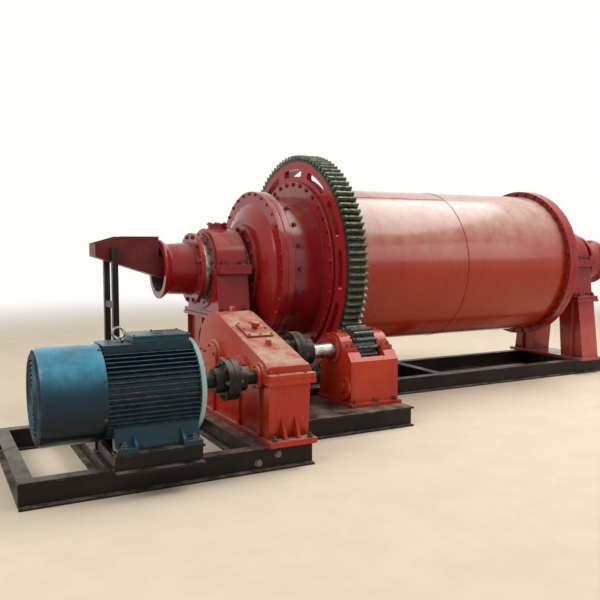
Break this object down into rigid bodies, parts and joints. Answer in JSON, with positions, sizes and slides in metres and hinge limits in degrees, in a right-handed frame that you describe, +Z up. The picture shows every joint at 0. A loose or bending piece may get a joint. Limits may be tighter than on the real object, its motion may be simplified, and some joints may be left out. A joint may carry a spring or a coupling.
{
  "type": "wet grinding ball mill with drive",
  "caption": "Drum ball mill on trunnion bearings with girth gear, pinion stand, reducer and electric motor on a steel base.",
  "frame": {"origin": "on the floor under the middle of the drum, on the flat underside of the middle cross beam", "axes": "+X along the drum axis from the feed end to the discharge end, drive on the -Y side, +Z up"},
  "size_m": [6.888, 3.2234, 2.3239],
  "materials": {
    "machine_paint": "gloss oxide-red paint",
    "pinion_paint": "gloss orange-red paint",
    "gear_steel": "greased cast steel",
    "frame_black": "dull black paint",
    "motor_paint": "gloss blue paint",
    "bare_steel": "machined steel"
  },
  "bodies": {
    "base": {"main_rail_near": "frame_black", "main_rail_far": "frame_black", "cross_beams": "frame_black", "feed_pedestal": "machine_paint", "discharge_pedestal": "machine_paint", "feed_bearing_base": "machine_paint", "feed_bearing_cap": "machine_paint", "discharge_bearing_base": "machine_paint", "discharge_bearing_cap": "machine_paint", "drive_rail_front": "frame_black", "drive_rail_back": "frame_black", "drive_cross_beams": "frame_black", "pinion_skid": "frame_black", "motor_plinth": "frame_black", "motor_frame": "motor_paint", "motor_fan_cowl": "motor_paint", "motor_end_shield": "motor_paint", "motor_terminal_box": "motor_paint", "motor_lifting_eye": "bare_steel", "reducer_lower_case": "machine_paint", "reducer_upper_case": "machine_paint", "reducer_bearing_covers": "machine_paint", "reducer_inspection_cover": "machine_paint", "pinion_pedestal": "pinion_paint", "pinion_cap_feed": "pinion_paint", "pinion_cap_discharge": "pinion_paint", "pinion_bearing_covers": "pinion_paint", "feed_chute": "machine_paint", "chute_stand": "frame_black"},
    "drum": {"drum_shell": "machine_paint", "feed_barrel": "machine_paint", "feed_cover": "machine_paint", "feed_trunnion": "bare_steel", "feed_spout": "machine_paint", "discharge_cover": "machine_paint", "discharge_trunnion": "bare_steel", "discharge_spout": "machine_paint", "gear_upper_half": "gear_steel", "gear_lower_half": "gear_steel", "manhole_cover": "machine_paint"},
    "pinion": {"pinion_shaft": "bare_steel", "pinion_gear": "gear_steel", "drive_coupling": "frame_black"},
    "motor_rotor": {"motor_coupling": "frame_black"}
  },
  "joints": [
    {"name": "drum_spin", "type": "hinge", "parent": "base", "child": "drum", "pos_m": [0, 0, 1.264], "axis": [1, 0, 0], "continuous": true},
    {"name": "pinion_spin", "type": "hinge", "parent": "base", "child": "pinion", "pos_m": [-1.4, -1.01154, 0.6], "axis": [1, 0, 0], "continuous": true},
    {"name": "motor_spin", "type": "hinge", "parent": "base", "child": "motor_rotor", "pos_m": [-2.9, -1.85353, 0.6], "axis": [1, 0, 0], "continuous": true}
  ],
  "couplings": [
    {"joint": "pinion_spin", "follows": "drum_spin", "ratio": -6.1176},
    {"joint": "motor_spin", "follows": "drum_spin", "ratio": -30.588}
  ]
}
